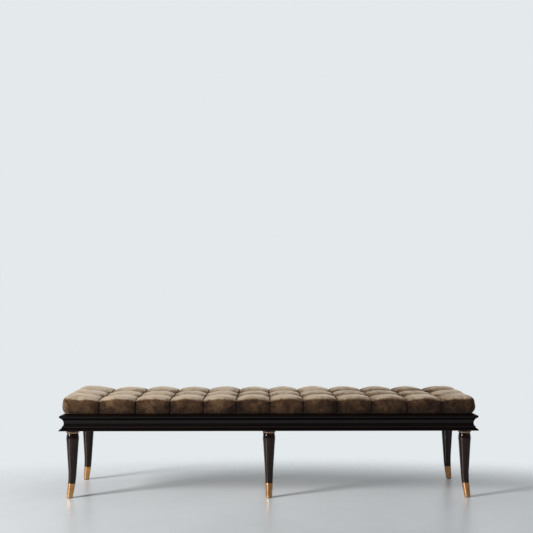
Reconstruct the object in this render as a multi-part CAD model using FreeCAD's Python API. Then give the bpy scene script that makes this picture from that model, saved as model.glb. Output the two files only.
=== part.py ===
import FreeCAD, Part
import math
import os

# A long tufted bench: a velvet cushion on a moulded frame, carried by six turned legs with metal feet.
# Millimetres. The floor is z = 0, the bench is centred over the origin with X along it, its front at -Y.

# Frame, measured over the tips of the moulding's lower lip
BENCH_LENGTH = 1800.0
BENCH_WIDTH = 470.0
LEG_HEIGHT = 292.5
RAIL_HEIGHT = 72.0
RAIL_DEPTH = 34.0

# Moulding of the rails, from the lower lip up
LIP_EDGE = 3.0
LIP_RUN = 11.6
LIP_RISE = 10.0
LIP_SWELL = 0.9
FILLET_RISE = 6.0
LEDGE_RUN = 4.0
LEDGE_RISE = 1.0
COVE_DEPTH = 18.0
COVE_DEEPEST = 0.4
COVE_LIP = 7.0
NOSE_UNDERCUT = 3.0
NOSE_HEIGHT = 8.5
NOSE_SET = 2.6
NOSE_SWELL = 1.3
BEVEL_RUN = 21.0
BEVEL_DROP = 7.5

# Loose keys across the mitres
KEY_LENGTH = 16.0
KEY_WIDTH = 20.0
KEY_THICKNESS = 5.0
KEY_INSET = 21.0
KEY_EDGE = 8.0
GLUE_GAP = 0.1

# Cross battens under the seat, and the timber that takes the legs
BATTEN_SHARES = (0.25, 0.7)
BATTEN_WIDTH = 60.0
BATTEN_THICKNESS = 20.0
HOUSING_DEPTH = 10.0
BLOCK_SIZE = 72.0
BLOCK_HEIGHT = 45.0
BLOCK_CHAMFER = 26.0
BEARER_WIDTH = 110.0
TENON_LENGTH = 12.0
TENON_SHOULDER = 10.0

# Legs
LEG_INSET_X = 50.0
LEG_INSET_Y = 55.0
BOSS_HEIGHT = 6.0
BOSS_RADIUS = 37.0
BOSS_NECK_RADIUS = 29.0
BOSS_LIP = 1.5
BOSS_SWELL = 0.8
BOSS_STEPS = 2
RING_HEIGHT = 8.0
RING_RADIUS = 28.0
RING_SWELL = 1.4
RING_STEPS = 2
SHAFT_RADIUS = 26.5
SHAFT_CROWN_RADIUS = 24.6
SHAFT_CROWN_HEIGHT = 30.0
SHAFT_CROWN_SWELL = 0.9
SHAFT_CROWN_STEPS = 4
SHAFT_BEND_STEPS = 3
KICK_START = 115.0
KICK_RADIUS = 17.8
KICK_STRAIGHT = 45.0
KICK_OUT = 14.0
FERRULE_HEIGHT = 63.0
FERRULE_TOP_RADIUS = 15.8
FERRULE_FOOT_RADIUS = 12.8
FERRULE_WALL = 1.2
FERRULE_BASE = 3.0
FERRULE_PROUD = 0.3
FERRULE_FIT = 0.2
GLIDE_HEIGHT = 2.5
GLIDE_MARGIN = 2.5

# Flats that stand for round in the pieces that each leg repeats
TURNED_SIDES = 24
BOLT_SIDES = 8

# Bolts that hold the legs
BOLT_RADIUS = 5.0
BOLT_FIT = 0.15
BOLT_IN_SHAFT = 40.0
BOLT_END = 2.0
NUT_SIDES = 6
NUT_ACROSS = 17.0
NUT_HEIGHT = 8.0

# Screws up through the battens into the seat board
SCREW_SIDES = 6
SCREW_RADIUS = 2.5
SCREW_FIT = 0.1
SCREW_HEAD_RADIUS = 6.0
SCREW_HEAD_HEIGHT = 3.0
SCREW_BITE = 9.0
SCREW_SPACING = 240.0

# Cushion: a biscuit is the padded square between four tufts
BISCUITS_LONG = 12
BISCUITS_WIDE = 3
CUSHION_INSET = 20.0
CUSHION_HEIGHT = 78.5
BISCUIT_SWELL_POWER = 2.4
SEAM_DROP = 8.5
SADDLE_DROP = 12.5
TUFT_DEPTH = 25.0
SIDE_SWELL = 6.3
SEAM_SWELL = 1.5
SHOULDER_RUN = 30.0
SHOULDER_DROP = 27.0
SHOULDER_DIP = 2.0
WALL_STEPS = 2
SHOULDER_STEPS = 3
BISCUIT_STEPS = 5
CORNER_RISE = 0.55
CORNER_RADIUS = 24.0
COVER_SIDE = 6.0
FABRIC_THICKNESS = 1.5
HEM_WIDTH = 40.0
BOARD_THICKNESS = 12.0
FOAM_CHAMFER = 18.0
WADDING_AT_CROWN = 12.5
WADDING_AT_TUFT = 7.5
GROOVE_HALF_WIDTH = 34.0

# Each tuft is held down by a flat twine through the foam and the board
TWINE_WIDTH = 3.0
TWINE_FIT = 0.2

RAIL_TOP = LEG_HEIGHT + RAIL_HEIGHT
HALF_LENGTH = BENCH_LENGTH / 2
HALF_WIDTH = BENCH_WIDTH / 2
CUSHION_LONG = HALF_LENGTH - CUSHION_INSET
CUSHION_WIDE = HALF_WIDTH - CUSHION_INSET
CUSHION_TOP = RAIL_TOP + CUSHION_HEIGHT
PITCH_LONG = 2 * (CUSHION_LONG + SIDE_SWELL) / BISCUITS_LONG
PITCH_WIDE = 2 * (CUSHION_WIDE + SIDE_SWELL) / BISCUITS_WIDE
BOARD_BOTTOM = RAIL_TOP + FABRIC_THICKNESS
BOARD_TOP = BOARD_BOTTOM + BOARD_THICKNESS
SHAFT_TOP = LEG_HEIGHT - BOSS_HEIGHT - RING_HEIGHT
TUFT_FLOOR = CUSHION_TOP - TUFT_DEPTH
FOAM_TOP = CUSHION_TOP - WADDING_AT_CROWN
GROOVE_DEPTH = FOAM_TOP - TUFT_FLOOR + WADDING_AT_TUFT


def point(x, y, z):
    return FreeCAD.Vector(x, y, z)


def line(start, end):
    return Part.LineSegment(start, end).toShape()


def arc(start, middle, end):
    return Part.Arc(start, middle, end).toShape()


def bow(start, middle, end, steps):
    """Points of the arc from start through middle to end, with both ends."""
    return Part.Arc(start, middle, end).toShape().discretize(steps + 1)


def box(low, high):
    return Part.makeBox(high[0] - low[0], high[1] - low[1], high[2] - low[2], point(*low))


def flat(corners):
    return Part.Face(Part.makePolygon(corners + corners[:1]))


def prism(corners, low, high):
    """A flat outline of (x, y) corners raised from one height to another."""
    return flat([point(x, y, low) for x, y in corners]).extrude(point(0, 0, high - low))


def ring_of(sides, radius, centre):
    """The corners of a level regular outline round a centre."""
    turns = [2 * math.pi * (i + 0.5) / sides for i in range(sides)]
    return [centre + point(radius * math.cos(a), radius * math.sin(a), 0) for a in turns]


def rod(sides, radius, low, high):
    return flat(ring_of(sides, radius, point(0, 0, low))).extrude(point(0, 0, high - low))


def turned(profile, way):
    """A turned piece from (radius, height) points, on the leg's centre line, which kicks out along a way.

    Its rings are level outlines of one shape, so each side between two of them is a flat face.
    """
    rings = [ring_of(TURNED_SIDES, r, way * kick_at(z) + point(0, 0, z)) for r, z in profile]
    faces = [flat(rings[0]), flat(rings[-1])]
    for low, high in zip(rings, rings[1:]):
        for i in range(TURNED_SIDES):
            faces.append(flat([low[i - 1], low[i], high[i], high[i - 1]]))
    return Part.makeSolid(Part.makeShell(faces))


def swollen(low, high, bulge, steps):
    """Profile points on an arc between two (radius, height) points, out from their line by a bulge."""
    start, end = point(low[0], 0, low[1]), point(high[0], 0, high[1])
    way = (end - start).normalize()
    middle = (start + end) * 0.5 + point(way.z, 0, -way.x) * bulge
    return [(p.x, p.z) for p in bow(start, middle, end, steps)]


def moved(shape, x, y, z=0.0):
    copy = shape.copy()
    copy.translate(point(x, y, z))
    return copy


def save(name, shape):
    shape.exportStep(os.path.join("parts", name + ".step"))


# Frame


def moulding(depth, end):
    """The rail's cross-section: the lip, a fillet and ledge, the deep cove, and the nose under a bevel."""

    def at(inward, up):
        return point(end, inward - depth, LEG_HEIGHT + up)

    lip_top = LIP_EDGE + LIP_RISE
    lip_middle = LIP_EDGE + LIP_RISE / 2
    fillet_top = lip_top + FILLET_RISE
    cove_foot = fillet_top + LEDGE_RISE
    nose_top = RAIL_HEIGHT - BEVEL_DROP
    nose_foot = nose_top - NOSE_HEIGHT
    cove_top = nose_foot - NOSE_UNDERCUT
    cove_middle = cove_foot + (cove_top - cove_foot) * COVE_DEEPEST
    nose_middle = (nose_foot + nose_top) / 2
    edges = [
        line(at(RAIL_DEPTH, 0), at(0, 0)),
        line(at(0, 0), at(0, LIP_EDGE)),
        arc(at(0, LIP_EDGE), at(LIP_RUN / 2 - LIP_SWELL, lip_middle), at(LIP_RUN, lip_top)),
        line(at(LIP_RUN, lip_top), at(LIP_RUN, fillet_top)),
        line(at(LIP_RUN, fillet_top), at(LIP_RUN + LEDGE_RUN, cove_foot)),
        arc(at(LIP_RUN + LEDGE_RUN, cove_foot), at(COVE_DEPTH, cove_middle), at(COVE_LIP, cove_top)),
        line(at(COVE_LIP, cove_top), at(NOSE_SET, nose_foot)),
        arc(at(NOSE_SET, nose_foot), at(NOSE_SET - NOSE_SWELL, nose_middle), at(NOSE_SET, nose_top)),
        line(at(NOSE_SET, nose_top), at(BEVEL_RUN, RAIL_HEIGHT)),
        line(at(BEVEL_RUN, RAIL_HEIGHT), at(RAIL_DEPTH, RAIL_HEIGHT)),
        line(at(RAIL_DEPTH, RAIL_HEIGHT), at(RAIL_DEPTH, 0)),
    ]
    return Part.Face(Part.Wire(edges))


def mitred_rail(half_long, half_across):
    """A moulded rail along X whose outer tip is at y = -half_across, cut at 45 degrees at both ends."""
    spare = RAIL_DEPTH
    rail = moulding(half_across, -half_long).extrude(point(2 * half_long, 0, 0))
    outer = (half_long + spare, -half_across - spare)
    inner = (half_long - 2 * spare, 2 * spare - half_across)
    wedge = [(-outer[0], outer[1]), outer, inner, (-inner[0], inner[1])]
    return rail.common(prism(wedge, LEG_HEIGHT - spare, RAIL_TOP + spare))


def key_boxes(gap):
    """The loose keys of the four mitres, or with a gap the slots that take them."""
    low_key = LEG_HEIGHT + KEY_EDGE
    high_key = RAIL_TOP - BEVEL_DROP - KEY_THICKNESS
    keys = []
    for side_x in (-1, 1):
        for side_y in (-1, 1):
            for middle in (low_key, high_key):
                half = (KEY_LENGTH / 2 + gap, KEY_WIDTH / 2 + gap, KEY_THICKNESS / 2 + gap)
                key = box([-h for h in half], half)
                key.rotate(point(0, 0, 0), point(0, 0, 1), 45 * side_x * side_y)
                place = (side_x * (HALF_LENGTH - KEY_INSET), side_y * (HALF_WIDTH - KEY_INSET))
                keys.append(moved(key, place[0], place[1], middle))
    return keys


def batten(place, gap):
    """A flat batten across the frame, its ends housed in the long rails, flush with their top."""
    reach = HALF_WIDTH - RAIL_DEPTH + HOUSING_DEPTH + gap
    half = BATTEN_WIDTH / 2 + gap
    return box((place - half, -reach, RAIL_TOP - BATTEN_THICKNESS - gap), (place + half, reach, RAIL_TOP))


def batten_places():
    """Where the battens lie along X, each at its share of the way from the middle to the frame's end."""
    return sorted(side * share * HALF_LENGTH for share in BATTEN_SHARES for side in (-1, 1))


def screw_shanks(gap):
    """The shanks of the seat screws, two to a batten, or with a gap their holes."""
    low = RAIL_TOP - BATTEN_THICKNESS
    shank = rod(SCREW_SIDES, SCREW_RADIUS + gap, low, BOARD_BOTTOM + SCREW_BITE + gap)
    return [moved(shank, x, side * SCREW_SPACING / 2) for x in batten_places() for side in (-1, 1)]


def seat_screws():
    low = RAIL_TOP - BATTEN_THICKNESS
    head = rod(SCREW_SIDES, SCREW_HEAD_RADIUS, low - SCREW_HEAD_HEIGHT, low)
    heads = [moved(head, x, side * SCREW_SPACING / 2) for x in batten_places() for side in (-1, 1)]
    return [head.fuse(shank) for head, shank in zip(heads, screw_shanks(0.0))]


def bearer_tenons(gap):
    """The stub tenons of the middle bearer, or with a gap the mortises that take them."""
    half = BEARER_WIDTH / 2 - TENON_SHOULDER + gap
    reach = HALF_WIDTH - RAIL_DEPTH + TENON_LENGTH + gap
    low = LEG_HEIGHT + TENON_SHOULDER - gap
    return box((-half, -reach, low), (half, reach, LEG_HEIGHT + BLOCK_HEIGHT - TENON_SHOULDER + gap))


def rails():
    slots = key_boxes(GLUE_GAP) + [batten(place, GLUE_GAP) for place in batten_places()]
    slots.append(bearer_tenons(GLUE_GAP))
    long_rail = mitred_rail(HALF_LENGTH, HALF_WIDTH)
    end_rail = mitred_rail(HALF_WIDTH, HALF_LENGTH)
    for quarter, name in enumerate(("front", "right", "back", "left")):
        rail = end_rail.copy() if quarter % 2 else long_rail.copy()
        rail.rotate(point(0, 0, 0), point(0, 0, 1), 90 * quarter)
        save(name + "_rail", rail.cut(slots))


def cross_members():
    save("mitre_keys", Part.makeCompound(key_boxes(0.0)))
    for number, place in enumerate(batten_places(), 1):
        save("cross_batten_%d" % number, batten(place, 0.0).cut(screw_shanks(SCREW_FIT)))
    save("seat_screws", Part.makeCompound(seat_screws()))
    half = BEARER_WIDTH / 2
    reach = HALF_WIDTH - RAIL_DEPTH
    bearer = box((-half, -reach, LEG_HEIGHT), (half, reach, LEG_HEIGHT + BLOCK_HEIGHT))
    bearer = bearer.fuse(bearer_tenons(0.0))
    holes = [moved(bolt_hole(), x, y) for name, x, y, way in legs() if x == 0]
    save("middle_bearer", bearer.cut(holes))


def corner_blocks():
    """Blocks glued into the frame's corners, their inner corner cut off, each bored for its leg's bolt."""
    near = (HALF_LENGTH - RAIL_DEPTH, HALF_WIDTH - RAIL_DEPTH)
    far = (near[0] - BLOCK_SIZE, near[1] - BLOCK_SIZE)
    outline = [
        near,
        (far[0], near[1]),
        (far[0], far[1] + BLOCK_CHAMFER),
        (far[0] + BLOCK_CHAMFER, far[1]),
        (near[0], far[1]),
    ]
    for name, x, y, way in legs():
        if x:
            side = (math.copysign(1, x), math.copysign(1, y))
            corners = [(side[0] * a, side[1] * b) for a, b in outline]
            block = prism(corners, LEG_HEIGHT, LEG_HEIGHT + BLOCK_HEIGHT)
            save("corner_block_" + name, block.cut(moved(bolt_hole(), x, y)))


# Legs


def legs():
    """Name, place and way out of each leg. Corner legs kick along the diagonal, middle ones straight out."""
    places = []
    for row, side_y in (("front", -1), ("back", 1)):
        for column, side_x in (("left", -1), ("middle", 0), ("right", 1)):
            way = point(side_x, side_y, 0).normalize()
            x = side_x * (HALF_LENGTH - LEG_INSET_X)
            places.append((row + "_" + column, x, side_y * (HALF_WIDTH - LEG_INSET_Y), way))
    return places


def kick_at(height):
    """How far out the leg's centre is: a curve from KICK_START down to KICK_STRAIGHT, then its tangent."""
    curve = KICK_START - KICK_STRAIGHT
    slope = KICK_OUT / (curve / 2 + KICK_STRAIGHT)
    if height > KICK_START:
        return 0.0
    if height > KICK_STRAIGHT:
        return slope * (KICK_START - height) ** 2 / (2 * curve)
    return slope * (curve / 2 + KICK_STRAIGHT - height)


def leg_radius(height):
    """Radius of the leg below KICK_START: a straight taper to the ferrule, and another down the ferrule."""
    if height >= FERRULE_HEIGHT:
        share = (height - FERRULE_HEIGHT) / (KICK_START - FERRULE_HEIGHT)
        return FERRULE_TOP_RADIUS + (KICK_RADIUS - FERRULE_TOP_RADIUS) * share
    share = height / FERRULE_HEIGHT
    return FERRULE_FOOT_RADIUS + (FERRULE_TOP_RADIUS - FERRULE_FOOT_RADIUS) * share


def taper(heights, grow):
    return [(leg_radius(z) + grow, z) for z in heights]


def bolt_hole():
    return rod(BOLT_SIDES, BOLT_RADIUS + BOLT_FIT, SHAFT_TOP - BOLT_IN_SHAFT, RAIL_TOP)


def shaft(way):
    """The turned shaft: crowned shoulder, straight taper, kicked foot and the tenon inside the ferrule."""
    bend = (KICK_START - FERRULE_HEIGHT) / SHAFT_BEND_STEPS
    heights = [FERRULE_HEIGHT + bend * i for i in range(SHAFT_BEND_STEPS + 1)]
    crown_foot = (SHAFT_RADIUS, SHAFT_TOP - SHAFT_CROWN_HEIGHT)
    crown = swollen(crown_foot, (SHAFT_CROWN_RADIUS, SHAFT_TOP), SHAFT_CROWN_SWELL, SHAFT_CROWN_STEPS)
    body = turned(taper(heights, 0.0) + crown, way)
    tenon_foot = GLIDE_HEIGHT + FERRULE_BASE + FERRULE_FIT
    tenon = turned(taper([tenon_foot, KICK_STRAIGHT, FERRULE_HEIGHT], -FERRULE_WALL - FERRULE_FIT), way)
    return body.fuse(tenon).cut(bolt_hole())


def ferrule(way):
    """The metal foot: a thin cup round the tenon, a little proud of the wood above it."""
    outer = turned(taper([GLIDE_HEIGHT, KICK_STRAIGHT, FERRULE_HEIGHT], FERRULE_PROUD), way)
    inner = turned(taper([GLIDE_HEIGHT + FERRULE_BASE, KICK_STRAIGHT, FERRULE_HEIGHT], -FERRULE_WALL), way)
    return outer.cut(inner)


def boss(way):
    """The saucer-shaped boss between the frame and the leg, with an upright lip at its top."""
    neck = (BOSS_NECK_RADIUS, LEG_HEIGHT - BOSS_HEIGHT)
    bowl = swollen(neck, (BOSS_RADIUS, LEG_HEIGHT - BOSS_LIP), BOSS_SWELL, BOSS_STEPS)
    return turned(bowl + [(BOSS_RADIUS, LEG_HEIGHT)], way).cut(bolt_hole())


def ring(way):
    """The metal ring between boss and shaft, with a rounded edge."""
    edge = RING_RADIUS - RING_SWELL
    profile = swollen((edge, SHAFT_TOP), (edge, SHAFT_TOP + RING_HEIGHT), RING_SWELL, RING_STEPS)
    return turned(profile, way).cut(bolt_hole())


def glide(way):
    radius = FERRULE_FOOT_RADIUS - GLIDE_MARGIN
    return turned([(radius, 0.0), (radius, GLIDE_HEIGHT)], way)


def leg_pieces():
    """The five turned pieces of each leg, and the bolts and nuts that hold them up to the frame."""
    for name, x, y, way in legs():
        pieces = (("boss", boss), ("ring", ring), ("shaft", shaft), ("ferrule", ferrule), ("glide", glide))
        for piece, make in pieces:
            save("leg_" + piece + "_" + name, moved(make(way), x, y))
    top = LEG_HEIGHT + BLOCK_HEIGHT
    bolt = rod(BOLT_SIDES, BOLT_RADIUS, SHAFT_TOP - BOLT_IN_SHAFT, top + NUT_HEIGHT + BOLT_END)
    nut = rod(NUT_SIDES, NUT_ACROSS / math.sqrt(3), top, top + NUT_HEIGHT).cut(bolt_hole())
    for name, piece in (("leg_bolts", bolt), ("leg_nuts", nut)):
        save(name, Part.makeCompound([moved(piece, x, y) for leg, x, y, way in legs()]))


# Cushion


def seams(count, pitch):
    """Where the seams between a number of biscuits lie, from the centre."""
    return [pitch * (i - count / 2) for i in range(1, count)]


def tufts():
    """The plan place of each tuft, where two seams cross."""
    across = seams(BISCUITS_WIDE, PITCH_WIDE)
    return [(x, y) for x in seams(BISCUITS_LONG, PITCH_LONG) for y in across]


def swell(share):
    """0 at the seams either side of a biscuit and 1 across its middle, steep at the seams."""
    return 1 - abs(2 * share - 1) ** BISCUIT_SWELL_POWER


def side_points(half, rise):
    """Points of one side as (out, up): base, belly, top of wall, shoulder, and where the top begins."""
    out = half + SEAM_SWELL + (SIDE_SWELL - SEAM_SWELL) * rise
    crest = CUSHION_TOP - SEAM_DROP * (1 - rise) - SHOULDER_DIP
    wall_top = crest - SHOULDER_DROP
    lean = (out - half) / 4
    run = SHOULDER_RUN + out - half - lean
    bend = 1 - math.sqrt(0.5)
    return [
        (half, RAIL_TOP),
        (out, (RAIL_TOP + wall_top) / 2),
        (out - lean, wall_top),
        (out - lean - run * bend, crest - SHOULDER_DROP * bend),
        (half - SHOULDER_RUN, crest),
    ]


def side_outline(half, rise):
    """One side as (out, up) points from its base up to where the top begins: wall, then shoulder."""
    base, belly, wall, shoulder, start = [point(out, up, 0) for out, up in side_points(half, rise)]
    outline = bow(base, belly, wall, WALL_STEPS)[:-1] + bow(wall, shoulder, start, SHOULDER_STEPS)
    return [(p.x, p.y) for p in outline]


def long_section(x, rise):
    """The cushion cut across at x, in the YZ plane: both sides and an arc over each row of biscuits."""
    side = side_outline(CUSHION_WIDE, rise)
    crest = CUSHION_TOP - SEAM_DROP * (1 - rise)
    valley = TUFT_FLOOR + (TUFT_DEPTH - SADDLE_DROP) * rise
    out, up = side[-1]
    stops = [(out, up)] + [(y, valley) for y in seams(BISCUITS_WIDE, -PITCH_WIDE)] + [(-out, up)]
    outline = side[:-1]
    for (y0, z0), (y1, z1) in zip(stops, stops[1:]):
        over = bow(point(y0, z0, 0), point((y0 + y1) / 2, crest, 0), point(y1, z1, 0), BISCUIT_STEPS)
        outline += [(p.x, p.y) for p in over[:-1]]
    outline += [(-out, up) for out, up in side[::-1]]
    return Part.makePolygon([point(x, y, z) for y, z in outline + outline[:1]])


def end_section(y, rise):
    """The cushion's two ends cut at y, in the XZ plane, under a roof that rises clear of the biscuits."""
    side = side_outline(CUSHION_LONG, rise)
    side.append((side[-1][0] - PITCH_LONG, CUSHION_TOP + SHOULDER_DROP))
    outline = side + [(-out, up) for out, up in side[::-1]]
    return Part.makePolygon([point(x, y, z) for x, z in outline + outline[:1]])


def stations(count, pitch):
    """Where the sections lie along a side, and how far the biscuit has risen there, 0 at a seam."""
    shares = (0.0, 0.1, 0.25, 0.5, 0.75, 0.9)
    first = -pitch * count / 2
    rows = [(first - pitch / 4, CORNER_RISE), (first, CORNER_RISE)]
    for i in range(count):
        for share in shares:
            rise = swell(share)
            outer = share < 0.5 if i == 0 else share > 0.5
            if outer and i in (0, count - 1):
                rise = max(rise, CORNER_RISE)
            if i or share:
                rows.append((first + (i + share) * pitch, rise))
    last = first + count * pitch
    return rows + [(last, CORNER_RISE), (last + pitch / 4, CORNER_RISE)]


def cushion_form():
    """The cushion's outside: the long form with its biscuits, cut to its pillowed ends and round corners."""
    across = [long_section(x, rise) for x, rise in stations(BISCUITS_LONG, PITCH_LONG)]
    along = [end_section(y, rise) for y, rise in stations(BISCUITS_WIDE, PITCH_WIDE)]
    body = Part.makeLoft(across, True, True)
    ends = Part.makeLoft(along, True, True)
    long_half = CUSHION_LONG + SIDE_SWELL
    wide_half = CUSHION_WIDE + SIDE_SWELL
    plan = box((-long_half, -wide_half, RAIL_TOP), (long_half, wide_half, CUSHION_TOP + SHOULDER_DROP))
    upright = [e for e in plan.Edges if abs(e.tangentAt(e.FirstParameter).z) > 0.5]
    return body.common(ends).common(plan.makeFillet(CORNER_RADIUS, upright))


def groove(half_long, angle, x, y):
    """A V-shaped cutter for one seam's groove, along Y before it is turned, as high again above the foam."""
    foot = FOAM_TOP - GROOVE_DEPTH
    mouth = 2 * GROOVE_HALF_WIDTH
    outline = [(-mouth, foot + 2 * GROOVE_DEPTH), (mouth, foot + 2 * GROOVE_DEPTH), (0, foot)]
    cutter = flat([point(a, -half_long, up) for a, up in outline]).extrude(point(0, 2 * half_long, 0))
    cutter.rotate(point(0, 0, 0), point(0, 0, 1), angle)
    return moved(cutter, x, y)


def foam_form():
    """The foam block: chamfered round its top and cut with a groove under each seam."""
    long_half = CUSHION_LONG - COVER_SIDE
    wide_half = CUSHION_WIDE - COVER_SIDE
    foam = box((-long_half, -wide_half, BOARD_TOP), (long_half, wide_half, FOAM_TOP))
    rim = [e for e in foam.Edges if e.BoundBox.ZMin > BOARD_TOP + FOAM_CHAMFER]
    foam = foam.makeChamfer(FOAM_CHAMFER, rim)
    across = [groove(HALF_WIDTH, 0, x, 0) for x in seams(BISCUITS_LONG, PITCH_LONG)]
    along = [groove(HALF_LENGTH, 90, 0, y) for y in seams(BISCUITS_WIDE, PITCH_WIDE)]
    return foam.cut(across + along)


def twines(gap):
    """A twine from the underside of the board up to each tuft, or with a gap its passage."""
    half = TWINE_WIDTH / 2 + gap
    return [box((x - half, y - half, BOARD_BOTTOM), (x + half, y + half, TUFT_FLOOR)) for x, y in tufts()]


def cushion():
    form = cushion_form()
    foam = foam_form()
    long_half = CUSHION_LONG - COVER_SIDE
    wide_half = CUSHION_WIDE - COVER_SIDE
    board = box((-long_half, -wide_half, BOARD_BOTTOM), (long_half, wide_half, BOARD_TOP))
    inside = (CUSHION_LONG - HEM_WIDTH, CUSHION_WIDE - HEM_WIDTH)
    cloth = box((-inside[0], -inside[1], RAIL_TOP), (inside[0], inside[1], BOARD_BOTTOM))
    passages = twines(TWINE_FIT)
    pilots = screw_shanks(SCREW_FIT)
    save("velvet_cover", form.cut([foam, board, cloth] + passages))
    save("foam_pad", foam.cut(passages))
    save("seat_board", board.cut(passages + pilots))
    save("dust_cover", cloth.cut(pilots))
    save("tuft_twines", Part.makeCompound(twines(0.0)))


def main():
    os.makedirs("parts", exist_ok=True)
    rails()
    cross_members()
    corner_blocks()
    leg_pieces()
    cushion()


main()
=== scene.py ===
# %% [markdown]
# # A tufted velvet bench
# A velvet cushion, 1.8 m long, on a moulded dark frame with six turned legs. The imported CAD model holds
# every piece at its real size. Here each gets the surface that the eye sees and a material made like the
# real one. Everything is in metres, in the CAD model's frame: the floor is z = 0, X runs along the bench
# and the front faces -Y.

# %% Load the CAD model
import math

import bmesh
import bpy
import numpy as np
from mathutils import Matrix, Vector


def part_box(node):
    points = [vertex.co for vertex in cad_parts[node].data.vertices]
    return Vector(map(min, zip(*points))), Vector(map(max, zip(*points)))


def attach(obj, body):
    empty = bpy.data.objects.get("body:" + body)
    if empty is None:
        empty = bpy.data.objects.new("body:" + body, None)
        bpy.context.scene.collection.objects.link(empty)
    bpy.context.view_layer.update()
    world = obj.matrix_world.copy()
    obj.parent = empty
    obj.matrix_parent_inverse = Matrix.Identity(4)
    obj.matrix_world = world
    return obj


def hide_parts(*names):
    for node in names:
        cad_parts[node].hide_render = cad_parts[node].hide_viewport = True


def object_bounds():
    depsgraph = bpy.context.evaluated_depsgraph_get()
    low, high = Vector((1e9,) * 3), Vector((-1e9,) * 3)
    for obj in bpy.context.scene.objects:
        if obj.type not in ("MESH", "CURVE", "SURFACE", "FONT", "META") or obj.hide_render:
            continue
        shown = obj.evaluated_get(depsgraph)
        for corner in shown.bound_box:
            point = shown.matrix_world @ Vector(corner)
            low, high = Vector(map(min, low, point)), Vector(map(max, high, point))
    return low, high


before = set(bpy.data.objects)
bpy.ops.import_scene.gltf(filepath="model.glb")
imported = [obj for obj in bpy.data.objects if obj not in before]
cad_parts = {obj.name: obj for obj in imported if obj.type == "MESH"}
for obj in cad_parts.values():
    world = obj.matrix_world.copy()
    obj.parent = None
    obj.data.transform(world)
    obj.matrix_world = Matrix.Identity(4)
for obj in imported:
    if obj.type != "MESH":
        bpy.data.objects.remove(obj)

MM = 0.001
cad_low, cad_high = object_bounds()
print("CAD box", [round(v, 4) for v in (*cad_low, *cad_high)])

# %% [markdown]
# ## Small helpers
# A mesh here is a grid of points worked out by numpy, and its faces join neighbours on the grid. Whole
# arrays go into the mesh at once, with no loop over vertices. A closed direction joins the last column
# back to the first, and an end ring can be capped with one many-sided face.

# %% Grids of points into meshes
def adjust(thing, **settings):
    """Sets several properties of a thing at once and returns it."""
    for key, value in settings.items():
        setattr(thing, key, value)
    return thing


def put(name, data):
    """A new object in the scene, made of a mesh, a camera or a lamp."""
    made = bpy.data.objects.new(name, data)
    bpy.context.scene.collection.objects.link(made)
    return made


def stacked(*arrays):
    """Arrays side by side along a new last axis, each spread to the shape that all share."""
    return np.stack(np.broadcast_arrays(*arrays), axis=-1)


def quads(rows, columns, closed=False, start=0):
    """Faces of a grid of points, where point (i, j) has the number start + i * columns + j."""
    i = np.arange(rows - 1)[:, None]
    j = np.arange(columns if closed else columns - 1)[None, :]
    right = (j + 1) % columns
    corners = (i * columns + j, i * columns + right, (i + 1) * columns + right, (i + 1) * columns + j)
    return stacked(*corners).reshape(-1, 4) + start


def make_piece(name, points, faces, caps=(), sharp=35.0):
    """A mesh object at the origin from an (n, 3) array of points, (m, 4) quads and lists for the caps."""
    points = np.asarray(points, float).reshape(-1, 3)
    corners = np.concatenate([np.asarray(faces).ravel()] + [np.asarray(c) for c in caps])
    sizes = np.array([4] * len(faces) + [len(c) for c in caps])
    mesh = bpy.data.meshes.new(name)
    mesh.vertices.add(len(points))
    mesh.vertices.foreach_set("co", points.ravel())
    mesh.loops.add(len(corners))
    mesh.loops.foreach_set("vertex_index", corners.astype(np.int32))
    mesh.polygons.add(len(sizes))
    mesh.polygons.foreach_set("loop_start", (np.cumsum(sizes) - sizes).astype(np.int32))
    mesh.update(calc_edges=True)
    mesh.validate()
    face_outward(mesh)
    mesh.shade_smooth()
    mesh.set_sharp_from_angle(angle=math.radians(sharp))
    return put(name, mesh)


def face_outward(mesh):
    """Turns every face of a closed mesh so that its normal points out."""
    work = bmesh.new()
    work.from_mesh(mesh)
    bmesh.ops.recalc_face_normals(work, faces=work.faces)
    work.to_mesh(mesh)
    work.free()


def bell(away, height, width):
    """A bell curve: the height times exp(-(away / width) ** 2)."""
    return height * np.exp(-(away / width) ** 2)


def bevelled(piece, width, **settings):
    """Eases a piece's sharp edges by a width."""
    bevel = piece.modifiers.new("eased arrises", "BEVEL")
    adjust(bevel, width=width, limit_method="ANGLE", **settings)
    return piece


def coat(piece, material):
    """Gives a piece one material."""
    piece.data.materials.clear()
    piece.data.materials.append(material)


def fit_out(piece, material, slot, *nodes):
    """Gives a piece its material, lets it ride on the bench and hides what it stands for."""
    coat(piece, material)
    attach(piece, "root")
    if nodes:
        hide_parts(*nodes)
    return piece


# %% [markdown]
# ## Camera
# The photograph was taken with a long lens from a little left of the middle, 0.9 m above the floor and
# 3.9 m in front of the legs. The values come from fitting a pinhole camera to it: the depth lines of the
# bench meet at the horizon, and the spacing of the legs gives the distance.

# %% Camera
PICTURE_PIXELS = 533
FOCAL_PIXELS = 892.0
VANISHING_PIXEL = 257.0
HORIZON_PIXEL = 290.0
CAMERA_PLACE = (-0.0525, -4.068, 0.896)

camera_data = bpy.data.cameras.new("camera")
camera_data.sensor_width = 36.0
camera_data.lens = camera_data.sensor_width * FOCAL_PIXELS / PICTURE_PIXELS
camera = put("camera", camera_data)
bpy.context.scene.camera = camera
look_up = math.atan((HORIZON_PIXEL - PICTURE_PIXELS / 2) / FOCAL_PIXELS)
look_right = math.atan((PICTURE_PIXELS / 2 - VANISHING_PIXEL) / FOCAL_PIXELS)
camera.location = CAMERA_PLACE
camera.rotation_euler = (math.pi / 2 + look_up, 0.0, -look_right)
print("lens", round(camera_data.lens, 2), "mm, up", round(math.degrees(look_up), 2), "degrees")


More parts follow.
